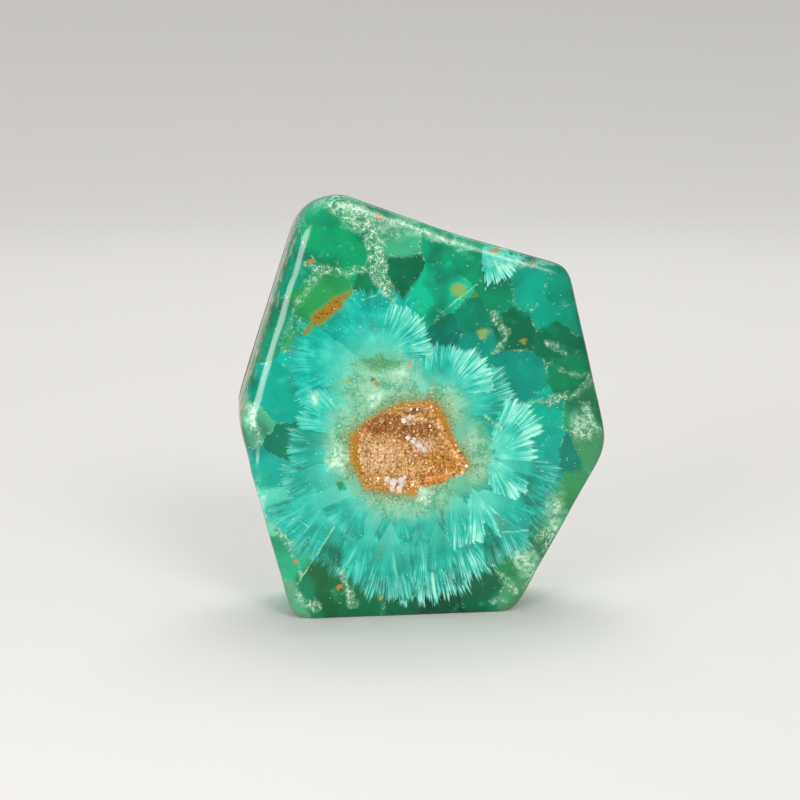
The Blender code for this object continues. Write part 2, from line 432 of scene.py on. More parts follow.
# %% A finish
SOCKET_KINDS = {"VALUE": "NodeSocketFloat", "VECTOR": "NodeSocketVector", "RGBA": "NodeSocketColor"}


class Recipe:
    """A tree of nodes under construction."""

    def __init__(self, tree):
        self.tree = tree

    def fill(self, socket, value):
        if isinstance(value, Value):
            self.tree.links.new(value.socket, socket)
        else:
            socket.default_value = value

    def node(self, kind, settings, sockets, output=0):
        made = self.tree.nodes.new(kind)
        for key, setting in settings.items():
            if key == "stops":
                self.set_stops(made.color_ramp.elements, setting)
            else:
                setattr(made, key, setting)
        for key, value in sockets.items():
            self.fill(made.inputs[key], value)
        return Value(self, made.outputs[output])

    def set_stops(self, elements, stops):
        while len(elements) < len(stops):
            elements.new(1.0)
        for element, (position, colour) in zip(elements, stops):
            element.position = position
            element.color = colour

    def mix(self, share, under, over):
        if is_colour(under) or is_colour(over):
            return self.node("ShaderNodeMix", {"data_type": "RGBA"}, {0: share, 6: under, 7: over}, 2)
        if is_vector(under) or is_vector(over):
            change = self.node("ShaderNodeVectorMath", {"operation": "SUBTRACT"}, {0: over, 1: under})
            return change * share + under
        return self.node("ShaderNodeMix", {"data_type": "FLOAT"}, {0: share, 2: under, 3: over})

    def split(self, colour):
        """A colour's red, green and blue."""
        parts = self.node("ShaderNodeSeparateColor", {}, {0: colour}).socket.node.outputs
        return [Value(self, part) for part in parts]

    def ramp(self, value, stops):
        return self.node("ShaderNodeValToRGB", {"stops": stops}, {0: value})

    def noise(self, place, size, detail=2.0, rough=0.55, output=0):
        """Noise whose waves measure size millimetres."""
        sockets = {"Vector": place, "Scale": 1.0 / size, "Detail": detail, "Roughness": rough}
        return self.node("ShaderNodeTexNoise", {}, sockets, output)

    def cells(self, place, size, feature="F1", output="Distance"):
        return self.node("ShaderNodeTexVoronoi", {"feature": feature}, {"Vector": place, "Scale": 1.0 / size}, output)

    def box(self, build, *inputs):
        """Runs a function that returns values, with its nodes in a group of their own."""
        inner = Recipe(bpy.data.node_groups.new(build.__name__, "ShaderNodeTree"))
        for k, value in enumerate(inputs):
            kind = SOCKET_KINDS[value.socket.type]
            inner.tree.interface.new_socket(f"in {k}", in_out="INPUT", socket_type=kind)
        entry = inner.tree.nodes.new("NodeGroupInput")
        results = build(inner, *(Value(inner, entry.outputs[k]) for k in range(len(inputs))))
        for k, value in enumerate(results):
            kind = SOCKET_KINDS[value.socket.type]
            inner.tree.interface.new_socket(f"out {k}", in_out="OUTPUT", socket_type=kind)
        leave = inner.tree.nodes.new("NodeGroupOutput")
        for k, value in enumerate(results):
            inner.tree.links.new(value.socket, leave.inputs[k])
        group = self.node("ShaderNodeGroup", {"node_tree": inner.tree}, dict(enumerate(inputs)))
        made = group.socket.node
        return [Value(self, made.outputs[k]) for k in range(len(results))]


class Finish(Recipe):
    """A material's recipe, with one Principled shader."""

    def __init__(self, name, look):
        self.material = bpy.data.materials.new(name)
        self.material.use_nodes = True
        super().__init__(self.material.node_tree)
        self.shader = self.tree.nodes["Principled BSDF"]
        for socket, value in look.items():
            self.fill(self.shader.inputs[socket], value)


def hue(red, green, blue):
    """A colour as a screen shows it, 0 to 255, turned into the light values that shaders mix."""
    return (*Color((red / 255, green / 255, blue / 255)).from_srgb_to_scene_linear(), 1.0)


print("deep green is", [round(part, 3) for part in hue(0, 105, 70)])

# %% [markdown]
# The stone between the fans is clear, and looks like panes of glass that meet at jagged borders: emerald,
# sea green and nearly black green. Each pane is a seed on the face, and every point takes the colour of the
# seed nearest to it, on a position that noise has bent. That is how a Voronoi texture works, but here the
# seeds are placed where the photograph shows the panes. Some borders are sharp and some are smoky,
# so the change from one colour to the next has a width, which also comes from noise.

# %% The panes
EMERALD = hue(0, 152, 99)
BRIGHT = hue(0, 180, 136)
LEAF = hue(24, 152, 106)
DEEP = hue(0, 94, 60)
BLACKISH = hue(0, 54, 30)
SEA = hue(0, 138, 120)
DARK_SEA = hue(0, 116, 94)
LAGOON = hue(0, 168, 140)
TURQUOISE = hue(0, 180, 158)
AQUA = hue(88, 210, 184)
SAGE = hue(84, 178, 134)
PALE_SAGE = hue(130, 202, 164)
OLIVE = hue(62, 134, 88)
MOSS = hue(16, 104, 54)

PANES = (
    ("crown frost", (320, 199), hue(56, 168, 126), -0.3),
    ("crown pane left", (327, 243), EMERALD, 0.0),
    ("crown pane right", (350, 246), EMERALD, 0.0),
    ("crown shade", (330, 218), hue(10, 140, 96), -0.6),
    ("bubbly patch", (352, 214), hue(60, 158, 112), 0.0),
    ("upper veil", (390, 225), SAGE, 0.0),
    ("upper veil middle", (400, 243), hue(60, 168, 124), 0.0),
    ("upper veil right", (470, 240), hue(56, 172, 130), -0.5),
    ("small pane", (440, 247), hue(6, 148, 104), 0.0),
    ("deep patch", (403, 270), DEEP, 0.6),
    ("deep patch left", (383, 285), hue(10, 112, 70), -0.4),
    ("bright pane", (440, 289), BRIGHT, 2.2),
    ("bright pane foot", (428, 312), hue(0, 176, 134), 0.0),
    ("pane above", (470, 262), hue(0, 146, 102), -0.3),
    ("dark pane", (474, 316), hue(0, 122, 92), 0.4),
    ("dark sea pane", (440, 333), hue(0, 108, 90), 0.2),
    ("ridge pane", (496, 296), hue(0, 134, 94), 0.2),
    ("lagoon pane", (530, 290), hue(0, 154, 130), 0.2),
    ("lagoon low", (545, 312), hue(0, 150, 124), -0.8),
    ("corner pane", (565, 288), hue(0, 140, 110), 0.8),
    ("corner low", (574, 318), hue(0, 146, 116), 0.0),
    ("deep cleft", (512, 330), hue(0, 98, 64), 0.2),
    ("deep right", (558, 340), hue(0, 104, 70), 0.4),
    ("middle sea", (480, 346), hue(0, 132, 112), 0.0),
    ("wide sea", (518, 378), SEA, 1.4),
    ("right green", (570, 372), hue(0, 118, 74), 0.2),
    ("right edge top", (590, 395), OLIVE, -0.6),
    ("right olive", (587, 445), OLIVE, 0.4),
    ("right shards", (581, 418), hue(40, 146, 96), -0.6),
    ("ring pane", (543, 414), LAGOON, 0.0),
    ("ring dark", (569, 454), hue(0, 122, 102), 0.0),
    ("ring petal", (549, 452), hue(0, 160, 142), 0.4),
    ("ring small", (539, 434), hue(0, 150, 132), -0.4),
    ("streaked pane", (541, 478), hue(0, 146, 126), 0.2),
    ("dark arc", (528, 496), hue(0, 112, 94), 0.0),
    ("low dark arc", (530, 516), hue(0, 106, 86), -0.4),
    ("lower right rim", (575, 490), hue(48, 138, 78), 0.0),
    ("rim veil", (555, 520), hue(72, 158, 108), -0.4),
    ("rim olive", (545, 540), hue(56, 132, 86), -0.4),
    ("rim foot", (524, 562), hue(84, 162, 116), -0.6),
    ("green blob", (506, 566), hue(28, 130, 72), 0.2),
    ("foot right", (515, 592), hue(78, 138, 88), -0.4),
    ("foot dark", (484, 584), hue(0, 90, 52), 0.8),
    ("foot black", (438, 607), BLACKISH, 0.6),
    ("foot black left", (400, 610), hue(0, 96, 56), 0.0),
    ("foot band", (366, 604), hue(4, 104, 60), 0.2),
    ("moss block", (318, 588), hue(8, 88, 40), 0.9),
    ("left foot", (286, 556), hue(36, 164, 118), 0.4),
    ("left foot corner", (289, 603), hue(96, 156, 116), 0.0),
    ("lens", (269, 468), hue(0, 160, 142), 0.3),
    ("lens foot", (271, 506), hue(84, 198, 172), 0.2),
    ("left edge veil", (249, 425), hue(84, 176, 136), -0.2),
    ("left edge low", (262, 520), hue(112, 204, 170), -0.8),
    ("left emerald", (284, 394), hue(0, 160, 138), 1.2),
    ("left cleft", (284, 446), hue(0, 112, 86), -0.6),
    ("upper left sea", (306, 362), hue(0, 176, 150), 0.8),
    ("side sea", (292, 262), hue(0, 140, 106), 0.4),
    ("side sea low", (272, 330), hue(8, 142, 106), 0.4),
    ("olive patch", (322, 300), hue(38, 148, 76), 0.6),
    ("olive patch low", (300, 345), hue(60, 158, 100), -0.8),
    ("upper sea", (365, 325), hue(0, 178, 150), 1.0),
)
PANE_BEND = 3.6
PANE_JAG = 1.5


def paint_panes(finish, place, soft):
    """The colour of the nearest seed, and how far it is to the border with the next one."""
    minus = soft * -1.0
    nearest = None
    for _, pixel, colour, lead in PANES:
        gap = (place - on_face(*pixel)).length() - lead
        if nearest is None:
            nearest, second, shade = gap, gap + 40.0, finish.mix(0.0, colour, colour)
            continue
        closer = (nearest - gap).step(minus, soft)
        second = second.at_most(gap.at_least(nearest))
        nearest = nearest.at_most(gap)
        shade = finish.mix(closer, shade, colour)
    return shade, (second - nearest) * 0.5


print("the face has", len(PANES), "panes")

# %% [markdown]
# The rosette round the brown middle is made of fans. In each, thin crystals spread from one point and end
# in frosted tips. A fan is a nucleus, a tip and a spread in degrees. Fans overlap like petals, so each has a
# rank, and the highest score wins a point: it falls from 1 at the nucleus to 0 at the tip and outside the
# spread. The winner's nucleus is carried along, because the threads run out from it.

# %% The fans
FANS = (
    ("upper right plume", (379, 356), (423, 323), 42, 0.62, 0.75, 0.4),
    ("upper left bloom", (380, 360), (352, 295), 58, 0.46, 0.0, 0.1),
    ("left bloom", (366, 364), (288, 370), 42, 0.56, 0.05, 0.0),
    ("crown stubs", (424, 396), (416, 356), 24, 0.66, 0.4, 0.6),
    ("top needles", (440, 394), (452, 346), 30, 0.50, 0.5, 0.2),
    ("top spray", (440, 396), (488, 366), 26, 0.66, 0.9, 0.4),
    ("crackled fan", (452, 410), (510, 386), 24, 0.45, 0.4, 0.1),
    ("right upper fan", (490, 450), (530, 410), 26, 0.74, 0.7, 0.3),
    ("right fan", (492, 456), (534, 444), 22, 0.78, 0.8, 0.6),
    ("low right fan", (494, 460), (556, 482), 12, 0.40, 0.3, 0.3),
    ("white feather", (490, 458), (516, 500), 24, 0.84, 1.0, 0.8),
    ("dark pane feather", (498, 466), (544, 502), 14, 0.22, 0.12, 0.4),
    ("dark feather", (494, 480), (544, 526), 18, 0.26, 0.2, 0.2),
    ("smooth petal", (480, 490), (524, 530), 22, 0.50, 0.05, 0.6),
    ("lower feather", (472, 488), (490, 540), 26, 0.74, 1.0, 0.9),
    ("low tier right", (452, 492), (468, 546), 24, 0.56, 0.8, 0.8),
    ("low tier middle", (428, 502), (432, 548), 30, 0.42, 0.4, 0.7),
    ("low tier left", (398, 502), (394, 544), 32, 0.42, 0.3, 0.7),
    ("left tier", (366, 494), (338, 530), 34, 0.48, 0.2, 0.7),
    ("low right feather", (446, 504), (478, 578), 24, 0.44, 0.8, 0.3),
    ("dark wedge", (484, 520), (500, 564), 16, 0.14, 0.3, 0.5),
    ("small wedge", (494, 512), (522, 552), 15, 0.36, 0.6, 0.6),
    ("turquoise pane", (436, 520), (444, 572), 18, 0.34, 0.1, 0.5),
    ("frosted foot", (424, 508), (441, 600), 18, 0.46, 0.9, 0.2),
    ("middle foot", (404, 500), (412, 602), 15, 0.42, 0.7, 0.1),
    ("turquoise foot", (391, 520), (388, 600), 21, 0.40, 0.5, 0.3),
    ("left foot fan", (378, 502), (356, 584), 22, 0.50, 0.3, 0.2),
    ("mint wedge", (354, 506), (348, 562), 26, 0.56, 0.2, 0.05),
    ("lower left fan", (348, 484), (294, 552), 36, 0.50, 0.2, 0.1),
    ("left fan", (340, 446), (288, 452), 26, 0.40, 0.3, 0.3),
    ("upper left fan", (352, 430), (308, 398), 34, 0.70, 0.25, 0.3),
    ("left low fan", (342, 468), (286, 494), 28, 0.48, 0.2, 0.1),
    ("dark cone", (337, 526), (329, 568), 17, 0.20, 0.1, 0.9),
    ("upper tuft", (484, 240), (510, 276), 34, 0.66, 0.8, 0.2),
)
SIDE_FALL = 0.14  # how soon, in the cosine of the angle, a fan fades past its spread
DEPTH_STRETCH = 1.7  # depth counts for more, so that a fan is a thin one
STRANDS = 0.17  # how far a fan's strands can pass its reach, as a share of it
LIFT = Vector((100.0, 100.0, 100.0))  # a colour can't hold a number less than 0
BLEND = 0.25  # a lead within which two fans' traits are mixed
FAR_FAN_SIZE = 24.0
FAR_FAN_REACH = 14.0


def choose_fan(finish, place):
    """How well fans cover a place, the top fan's nucleus and traits, and by how much it wins. The traits are its
    reach, its tone and its frost."""
    cover = top = -STRANDS
    margin = finish.mix(0.0, 1.0, 1.0)
    winner = traits = (0.0, 0.0, 0.0, 1.0)
    for _, nucleus, tip, spread, tone, frost, rank in FANS:
        root = on_face(*nucleus)
        axis = on_face(*tip) - root
        here = place - root
        far = here.length()
        slant = here.dot(axis.normalized()) / far
        limit = cos(radians(spread))
        aside = slant.step(limit, limit - SIDE_FALL, "LINEAR")
        score = 1.0 - far * (1.0 / axis.length) - aside
        reaches = score > -STRANDS
        standing = score + (score > 0.0) * rank
        lead = standing - top
        wins = reaches * (lead > 0.0)
        cover = score.at_least(cover)
        top = finish.mix(wins, top, standing)
        winner = finish.mix(wins, winner, (*(root + LIFT), 1.0))
        traits = finish.mix(reaches * lead.step(-BLEND, BLEND), traits, (axis.length, tone, frost, 1.0))
        margin = finish.mix(wins, finish.mix(reaches, margin, margin.at_most(lead * -1.0)), lead)
    return cover, winner, traits, margin


print("the rosette has", len(FANS), "fans")

# %% [markdown]
# Inside a fan the threads are noise read on the ray's direction, so they run out from the nucleus and widen
# with distance. A little of the position is added, which breaks them up along their length. Coarse bundles
# shift the fan's tone, finer threads draw it, and thin white strands grow towards the tips. By the nucleus
# the threads are packed so closely that only a pale haze is left of them.

# %% The threads
FROST = hue(192, 236, 220)
MINT = hue(120, 208, 183)
FAN_TONES = (
    (0.0, hue(0, 96, 74)),
    (0.25, hue(0, 136, 116)),
    (0.5, hue(0, 164, 147)),
    (0.75, hue(56, 189, 167)),
    (1.0, hue(132, 213, 193)),
)


def paint_fan(finish, place, ray, reach, tone, frost):
    """The colour inside a fan, how far along its reach each point is, and the two noises of its threads."""
    along = ray.length() / reach
    way = finish.node("ShaderNodeVectorMath", {"operation": "NORMALIZE"}, {0: ray})
    bundles = finish.noise(way * 10.0 + place * 0.12, 1.0, 2.0)
    threads = finish.noise(way * 46.0 + place * 0.16, 1.0, 3.0, 0.62)
    drawn = (frost * 0.85 + 0.09) * along.step(0.05, 0.5)
    fade = (along - 0.5) * (frost - 0.5) * 0.5 + (finish.noise(place, 5.0) - 0.5) * 1.1
    value = tone + fade + (bundles - 0.5) * (frost * 0.4 + 0.5) + (threads - 0.5) * drawn
    colour = finish.ramp(value, FAN_TONES)
    gaps = threads.step(0.44, 0.30) * drawn
    colour = finish.mix(gaps * 0.8, colour, hue(0, 112, 92))
    near_root = (along + (bundles - 0.5) * 0.4).step(0.75, 0.0) * tone.step(0.1, 0.5)
    colour = finish.mix(near_root * 0.42, colour, MINT)
    tips = (along + (bundles - 0.5) * 1.1).step(0.55, 1.05)
    white = tips * (frost * 0.95 + 0.04) * threads.step(0.42, 0.62)
    return finish.mix(white * 0.7, colour, FROST), along, threads, bundles


print("threads are ready")

# %% [markdown]
# Cream veins run between the panes. Looked at closely they are tiny bubbles and cracks with pale rims, and
# that is what the distance to the border of a Voronoi cell draws. The veins follow capsules: a stretch
# between two places with a width. One helper gives the distance to the nearest capsule of a list. Thin
# straight cracks are capsules with no width.

# %% The veins
CREAM = hue(208, 224, 196)
VEINS = (
    ("bubbles", (338, 205), (362, 222), 2.2),
    ("bubble column", (372, 236), (378, 262), 1.9),
    ("bubble column foot", (378, 262), (385, 288), 1.7),
    ("bubble column end", (384, 290), (394, 300), 0.3),
    ("bubble arm", (364, 222), (398, 236), 0.3),
    ("upper band", (370, 214), (424, 232), 0.6),
    ("upper band right", (430, 234), (474, 246), 0.3),
    ("low right edge", (556, 530), (528, 584), 0.6),
    ("under the crown pane", (308, 266), (344, 272), 0.5),
    ("under the crown pane right", (344, 272), (366, 268), 0.3),
    ("left of the olive", (318, 274), (297, 303), 0.4),
    ("left of the olive low", (296, 306), (281, 345), 0.1),
    ("middle crumbs", (495, 314), (505, 334), 0.5),
    ("middle crumbs low", (506, 342), (494, 352), 0.2),
    ("right ridge", (522, 405), (548, 400), -0.2),
    ("right ridge knot", (551, 400), (566, 396), 0.8),
    ("right ridge end", (570, 397), (592, 382), 0.2),
    ("swirl", (487, 419), (503, 428), 0.2),
    ("right shards top", (585, 408), (599, 434), 0.6),
    ("right shards", (575, 424), (588, 434), 1.3),
    ("right flecks", (550, 343), (566, 352), 0.2),
    ("right flecks low", (556, 368), (590, 376), -0.1),
    ("low right rim", (560, 500), (550, 528), 0.5),
    ("low right knot", (517, 552), (534, 566), 0.8),
    ("low right knot top", (540, 540), (556, 516), 0.3),
    ("low right foot", (497, 575), (516, 592), 0.5),
    ("foot crumbs", (493, 600), (505, 600), 0.2),
    ("left foot knot", (297, 597), (316, 606), 0.9),
    ("left foot chain", (340, 572), (355, 604), 0.6),
    ("left edge", (247, 396), (258, 442), 0.6),
    ("left edge low", (266, 518), (292, 546), 0.2),
    ("left edge foot", (290, 548), (302, 576), -0.1),
)
HAIRLINES = (
    ("bright pane's edge", (477, 284), (437, 316)),
    ("cone's edge", (334, 528), (297, 584)),
    ("scratch", (297, 519), (308, 527)),
    ("fracture in the petal", (503, 532), (528, 530)),
    ("ring arc", (516, 422), (530, 440)),
    ("ring arc low", (530, 440), (545, 446)),
    ("streak under the column", (362, 300), (376, 296)),
)


def near_stretches(place, stretches):
    """The distance to the nearest of some capsules, less than 0 inside it."""
    nearest = None
    for _, start, end, width in stretches:
        foot = on_face(*start)
        run = on_face(*end) - foot
        share = (place - foot).dot(run / run.length_squared)
        held = share.at_least(0.0).at_most(1.0)
        gap = (place - foot - held * run).length() - width
        nearest = gap if nearest is None else nearest.at_most(gap)
    return nearest


def near_veins(finish, place):
    return [near_stretches(place, VEINS)]


def near_hairlines(finish, place):
    return [near_stretches(place, [(*line, 0.0) for line in HAIRLINES])]


print("there are", len(VEINS), "veins and", len(HAIRLINES), "cracks")

# %% [markdown]
# Round the stain lies a granular ring of sage green, made of a few ovals. As sockets, the stain's border is
# the largest of its lines' distances, and the ring is the smallest of its ovals' shares.

# %% The stain and its ring
RING = (
    ("dome", (384, 388), (47, 36)),
    ("left", (346, 440), (20, 40)),
    ("right", (476, 455), (17, 32)),
    ("foot", (408, 494), (48, 26)),
    ("top right", (440, 408), (26, 26)),
)


def stain_edge(finish, place):
    """The distance to the stain's border, less than 0 inside it."""
    widest = None
    for gap in stain_gaps(place):
        widest = gap if widest is None else widest.at_least(gap)
    return [widest]


def ring_share(finish, place):
    """0 at the middle of one of the ring's ovals, and 1 at its border."""
    least = None
    for _, pixel, sides in RING:
        share = in_oval(place, pixel, sides).length()
        least = share if least is None else least.at_most(share)
    return [least]


print("the ring has", len(RING), "ovals")

# %% [markdown]
# The stone's finish lays these over each other, from the back to the front: panes, haze, fans, veins, ring,
# stain and specks. Deeper than a few millimetres behind the face the placed marks give way to fans and panes
# of a plain three-dimensional Voronoi pattern, so that the sides and the back look like the same stone. All
# of it is Base Color. The polish is a smooth clear coat, set once on the shader.

# %% The polished stone's finish
DEEP_FROM = 3.0
DEEP_TO = 6.5
AMBER = hue(176, 122, 40)
DEEP_PANES = (
    (0.0, EMERALD),
    (0.22, DEEP),
    (0.38, SEA),
    (0.52, LAGOON),
    (0.66, SAGE),
    (0.80, LEAF),
    (1.0, DARK_SEA),
)

green = Finish(
    "polished_smithsonite",
    {
        "IOR": 1.6,
        "Specular IOR Level": 0.0,
        "Subsurface Weight": 0.12,
        "Subsurface Radius": (0.4, 1.0, 0.8),
        "Subsurface Scale": 1.2 * MM,
        "Coat Weight": 1.0,
        "Coat IOR": 1.4,
        "Coat Roughness": 0.13,
        "Roughness": 0.32,
    },
)
spot = green.node("ShaderNodeTexCoord", {}, {}, "Object")
turned = {"Vector": spot, "Rotation": (FACE_LEAN, 0.0, 0.0), "Scale": (1000.0,) * 3, "Location": face_shift}
place = green.node("ShaderNodeMapping", {"vector_type": "POINT"}, turned)

slow = green.noise(place, 7.0, 2.0, output="Color") - Vector((0.5, 0.5, 0.5))
quick = green.noise(place, 1.5, 3.0, output="Color") - Vector((0.5, 0.5, 0.5))
bent = place + slow * PANE_BEND + quick * PANE_JAG
grain = green.noise(place, 0.5, 2.0, 0.65)
cloud = green.noise(place, 4.0, 3.0, 0.6)
wide_cloud = green.noise(place, 11.0, 2.0, 0.5)

depth = place.part("Y")
deep = (depth + (cloud - 0.5) * 5.0).step(DEEP_FROM, DEEP_TO)
near_face = 1.0 - deep

soft = wide_cloud.step(0.46, 0.60) * 1.6 + 0.12
panes, border = green.box(paint_panes, bent, soft)
far_seed = green.cells(bent, 17.0, output="Color")
far_panes = green.ramp(green.split(far_seed)[0], DEEP_PANES)
colour = green.mix(deep, panes, far_panes)
facet_seed = green.split(green.cells(bent, 5.2, output="Color"))[0]
colour = green.mix(facet_seed.step(0.5, 0.0) * 0.10, colour, hue(0, 88, 64))
colour = green.mix(facet_seed.step(0.5, 1.0) * 0.06, colour, hue(20, 190, 150))
colour = green.mix(wide_cloud.step(0.52, 0.30) * 0.7, colour, hue(0, 88, 62))
colour = green.mix(wide_cloud.step(0.54, 0.72) * 0.25, colour, hue(0, 184, 142))
colour = green.mix(cloud.step(0.56, 0.80) * 0.25, colour, AQUA)
colour = green.mix(cloud.step(0.46, 0.28) * 0.20 + 0.15, colour, hue(0, 70, 50))
print("the panes take", len(green.tree.nodes), "nodes")

# %% [markdown]
# Between the fans and the brown middle lies a pale haze of threads too thin to see. It follows the stain's
# outline, so its strength comes from the distance to the stain. The fans are laid over it, and their last
# strands pass into the panes one by one: the threads' own noise decides how far each one runs.

# %% Haze and fans
outward = place - BROWN_MIDDLE
feather = green.noise(
    green.node("ShaderNodeVectorMath", {"operation": "NORMALIZE"}, {0: outward}) * 22.0 + place * 0.15, 1.0, 3.0, 0.6
)
(edge,) = green.box(stain_edge, place + slow * 0.8)
haze = (edge + (feather - 0.5) * 14.0 + (cloud - 0.5) * 8.0).step(15.0, 3.0) * near_face
haze_colour = green.mix(edge.step(2.0, 9.0), hue(110, 184, 150), hue(12, 162, 138))
colour = green.mix(haze * 0.8, colour, haze_colour)

stretched = (place + outward * ((feather - 0.5) * 0.20)) * Vector((1.0, DEPTH_STRETCH, 1.0))
cover, winner, traits, margin = green.box(choose_fan, stretched)
is_near = cover > -STRANDS + 0.01
reach, tone, frost = green.split(traits)
wandering = place + slow * 8.0 + quick * 1.5
far_tone, far_frost, _ = green.split(green.cells(wandering, FAR_FAN_SIZE, output="Color"))
far_root = green.cells(wandering, FAR_FAN_SIZE, output="Position")
root = green.mix(is_near, far_root, winner - LIFT)
reach = green.mix(is_near, FAR_FAN_REACH, reach)
fan_tone = green.mix(is_near, far_tone, tone)
fan_frost = green.mix(is_near, far_frost, frost)
fan_colour, along, threads, bundles = green.box(paint_fan, place, place - root, reach, fan_tone, fan_frost)
ragged = along + (threads - 0.5) * 0.5 + (bundles - 0.5) * 1.6
far_fan = deep * (far_tone > 0.30) * ragged.step(1.02, 0.88)
strands = ((threads - 0.5) * 0.35 + (bundles - 0.5) * 0.30) * (fan_frost * 0.8 + 0.35)
near_fan = is_near * (cover + strands).step(-0.03, 0.07)
seam = (margin + (threads - 0.5) * 0.08).step(0.06, 0.0) * is_near * along.step(0.15, 0.5)
fan_colour = green.mix(seam * 0.5, fan_colour, hue(0, 100, 84))
colour = green.mix(near_fan.at_least(far_fan), colour, fan_colour)
print("with haze and fans", len(green.tree.nodes), "nodes")

# %% [markdown]
# The veins, the ring and the stain come next. A vein's net of bubbles shows only inside its capsules on the
# face, and along the borders of the far panes behind it. Crumbs of the same cream lie on some of the face's
# pane borders. Each net is broken by noise, because the bubbles' rims catch the light only here and there: the
# cream rims are the veins' own colour and partly a painted highlight.

# %% Veins, ring and stain
(zone,) = green.box(near_veins, place + slow * 3.0 + quick * 2.2)
vein = (zone + (cloud - 0.5) * 3.0).step(1.0, -0.5) * near_face
far_border = green.cells(bent, 17.0, "DISTANCE_TO_EDGE")
far_vein = deep * far_border.step(0.09, 0.02) * cloud.step(0.42, 0.58)
vein = vein.at_least(far_vein)
crumbs = border.step(0.45, 0.1) * cloud.step(0.47, 0.60) * near_face * (1.0 - near_fan)
wobble = place + quick * 0.8 + slow * 0.8
bubbles = green.cells(wobble, 1.6, "DISTANCE_TO_EDGE")
cracks = green.cells(wobble, 0.8, "DISTANCE_TO_EDGE")
blotch = green.noise(place, 1.3, 2.0, 0.6)
rims = (bubbles - blotch.step(0.46, 0.68) * 0.06).step(0.05, 0.0)
chips = (cracks - blotch.step(0.50, 0.70) * 0.05).step(0.045, 0.0) * blotch.step(0.42, 0.50)
web = rims.at_least(chips) * blotch.step(0.28, 0.46)
colour = green.mix(vein * 0.50, colour, hue(96, 170, 134))
colour = green.mix(vein * blotch.step(0.50, 0.38) * 0.6, colour, hue(20, 104, 68))
# the cream web: the veins' own colour, and partly a painted highlight on the bubbles' rims
colour = green.mix(web * (vein * 0.9 + crumbs * 0.45).at_most(1.0) * grain.step(0.34, 0.58), colour, CREAM)
(crack,) = green.box(near_hairlines, place + slow * 1.0 + quick * 0.5)
colour = green.mix((crack + (grain - 0.5) * 0.5).step(0.26, 0.06) * near_face * 0.5, colour, hue(170, 222, 190))

(ring,) = green.box(ring_share, place + slow * 3.0)
ring = ring + (grain - 0.5) * 0.4 + (cloud - 0.5) * 0.6 + (feather - 0.5) * 0.9
ring = ring.step(1.25, 0.60) * near_face
edge = edge + (grain - 0.5) * 1.6
sage = green.mix(cloud.step(0.38, 0.62), hue(82, 156, 122), hue(146, 194, 160))
sage = green.mix(edge.step(3.6, 0.2) * (blotch * 0.6 + 0.6), sage, hue(132, 138, 88))
cap = in_oval(place + slow * 5.0 + quick * 2.0, (376, 362), (22, 9)).length()
sage = green.mix(cap.step(1.4, 0.5) * 0.9, sage, hue(84, 136, 78))
granules = grain.step(0.50, 0.38) * (edge.step(5.0, 0.5) * 0.75 + 0.15)
sage = green.mix(granules * blotch.step(0.66, 0.46), sage, hue(48, 100, 66))
sage = green.mix(grain.step(0.56, 0.70) * cloud.step(0.62, 0.44) * 0.6, sage, hue(204, 226, 194))
colour = green.mix(ring * 0.85, colour, sage)

gold = green.mix(blotch, hue(176, 130, 56), hue(142, 96, 36))
gold = green.mix(grain.step(0.46, 0.32) * 0.7, gold, hue(112, 66, 22))
gold = green.mix(grain.step(0.56, 0.70) * 0.7, gold, hue(226, 180, 112))
stained = edge.step(0.9, -0.7) * near_face
colour = green.mix(stained, colour, gold)
print("with veins, ring and stain", len(green.tree.nodes), "nodes")

# %% [markdown]
# In places the stone is milky, most of all along its upper edge. Rusty amber spots sit in the green, and one
# long streak of amber, with black pits, crosses the olive pane at the upper left. They are ovals and
# capsules like the marks before.

# %% Milk and amber
SPOTS = (
    ("crown", (378, 216), (3.4, 3.0), AMBER),
    ("left of the crown pane", (311, 262), (3.0, 2.0), AMBER),
    ("olive spot", (459, 290), (9.0, 7.0), hue(128, 160, 78)),
    ("ridge spot", (475, 295), (4.0, 3.0), hue(80, 128, 44)),
    ("round spot", (482, 333), (7.5, 5.5), hue(130, 160, 88)),
    ("top edge", (495, 250), (6.5, 2.4), AMBER),
    ("top edge right", (532, 263), (3.0, 1.6), AMBER),
    ("beside the crumbs", (523, 342), (3.0, 2.4), hue(140, 130, 60)),
    ("left foot spot", (295, 562), (2.0, 2.0), AMBER),
    ("foot chain spot", (339, 588), (2.6, 2.0), AMBER),
    ("foot spot", (381, 599), (2.4, 2.6), hue(160, 140, 60)),
    ("green freckle", (341, 486), (4.5, 4.5), hue(0, 120, 74)),
    ("dome dot", (377, 384), (2.0, 2.0), hue(170, 110, 40)),
    ("dome dot low", (373, 379), (1.6, 1.6), hue(110, 60, 20)),
    ("dome dot left", (347, 381), (2.4, 1.8), hue(180, 140, 60)),
    ("stub dot", (409, 366), (2.0, 4.0), hue(190, 140, 80)),
    ("brown lump", (413, 491), (8, 7), hue(172, 122, 52)),
)
MILK = (
    ("left of the stain", (336, 461), (10, 14), 0.9),
    ("crown", (318, 203), (18, 7), 0.4),
    ("over the bubbles", (352, 210), (22, 8), 0.35),
    ("upper veil", (392, 222), (34, 8), 0.3),
    ("upper edge", (440, 234), (40, 6), 0.35),
    ("under the tuft", (505, 262), (22, 9), 0.4),
    ("upper edge right", (540, 264), (24, 4), 0.5),
    ("right shards", (582, 424), (11, 18), 0.35),
    ("low right rim", (556, 512), (12, 26), 0.35),
    ("low right knot", (526, 562), (16, 14), 0.4),
    ("left edge", (248, 414), (8, 22), 0.5),
    ("left edge low", (258, 512), (6, 34), 0.5),
    ("left tuft", (314, 399), (7, 7), 0.7),
    ("dome tuft", (398, 378), (9, 9), 0.5),
    ("dome blob", (373, 397), (9, 8), 0.8),
    ("bottom of the stain", (424, 494), (12, 8), 0.7),
)
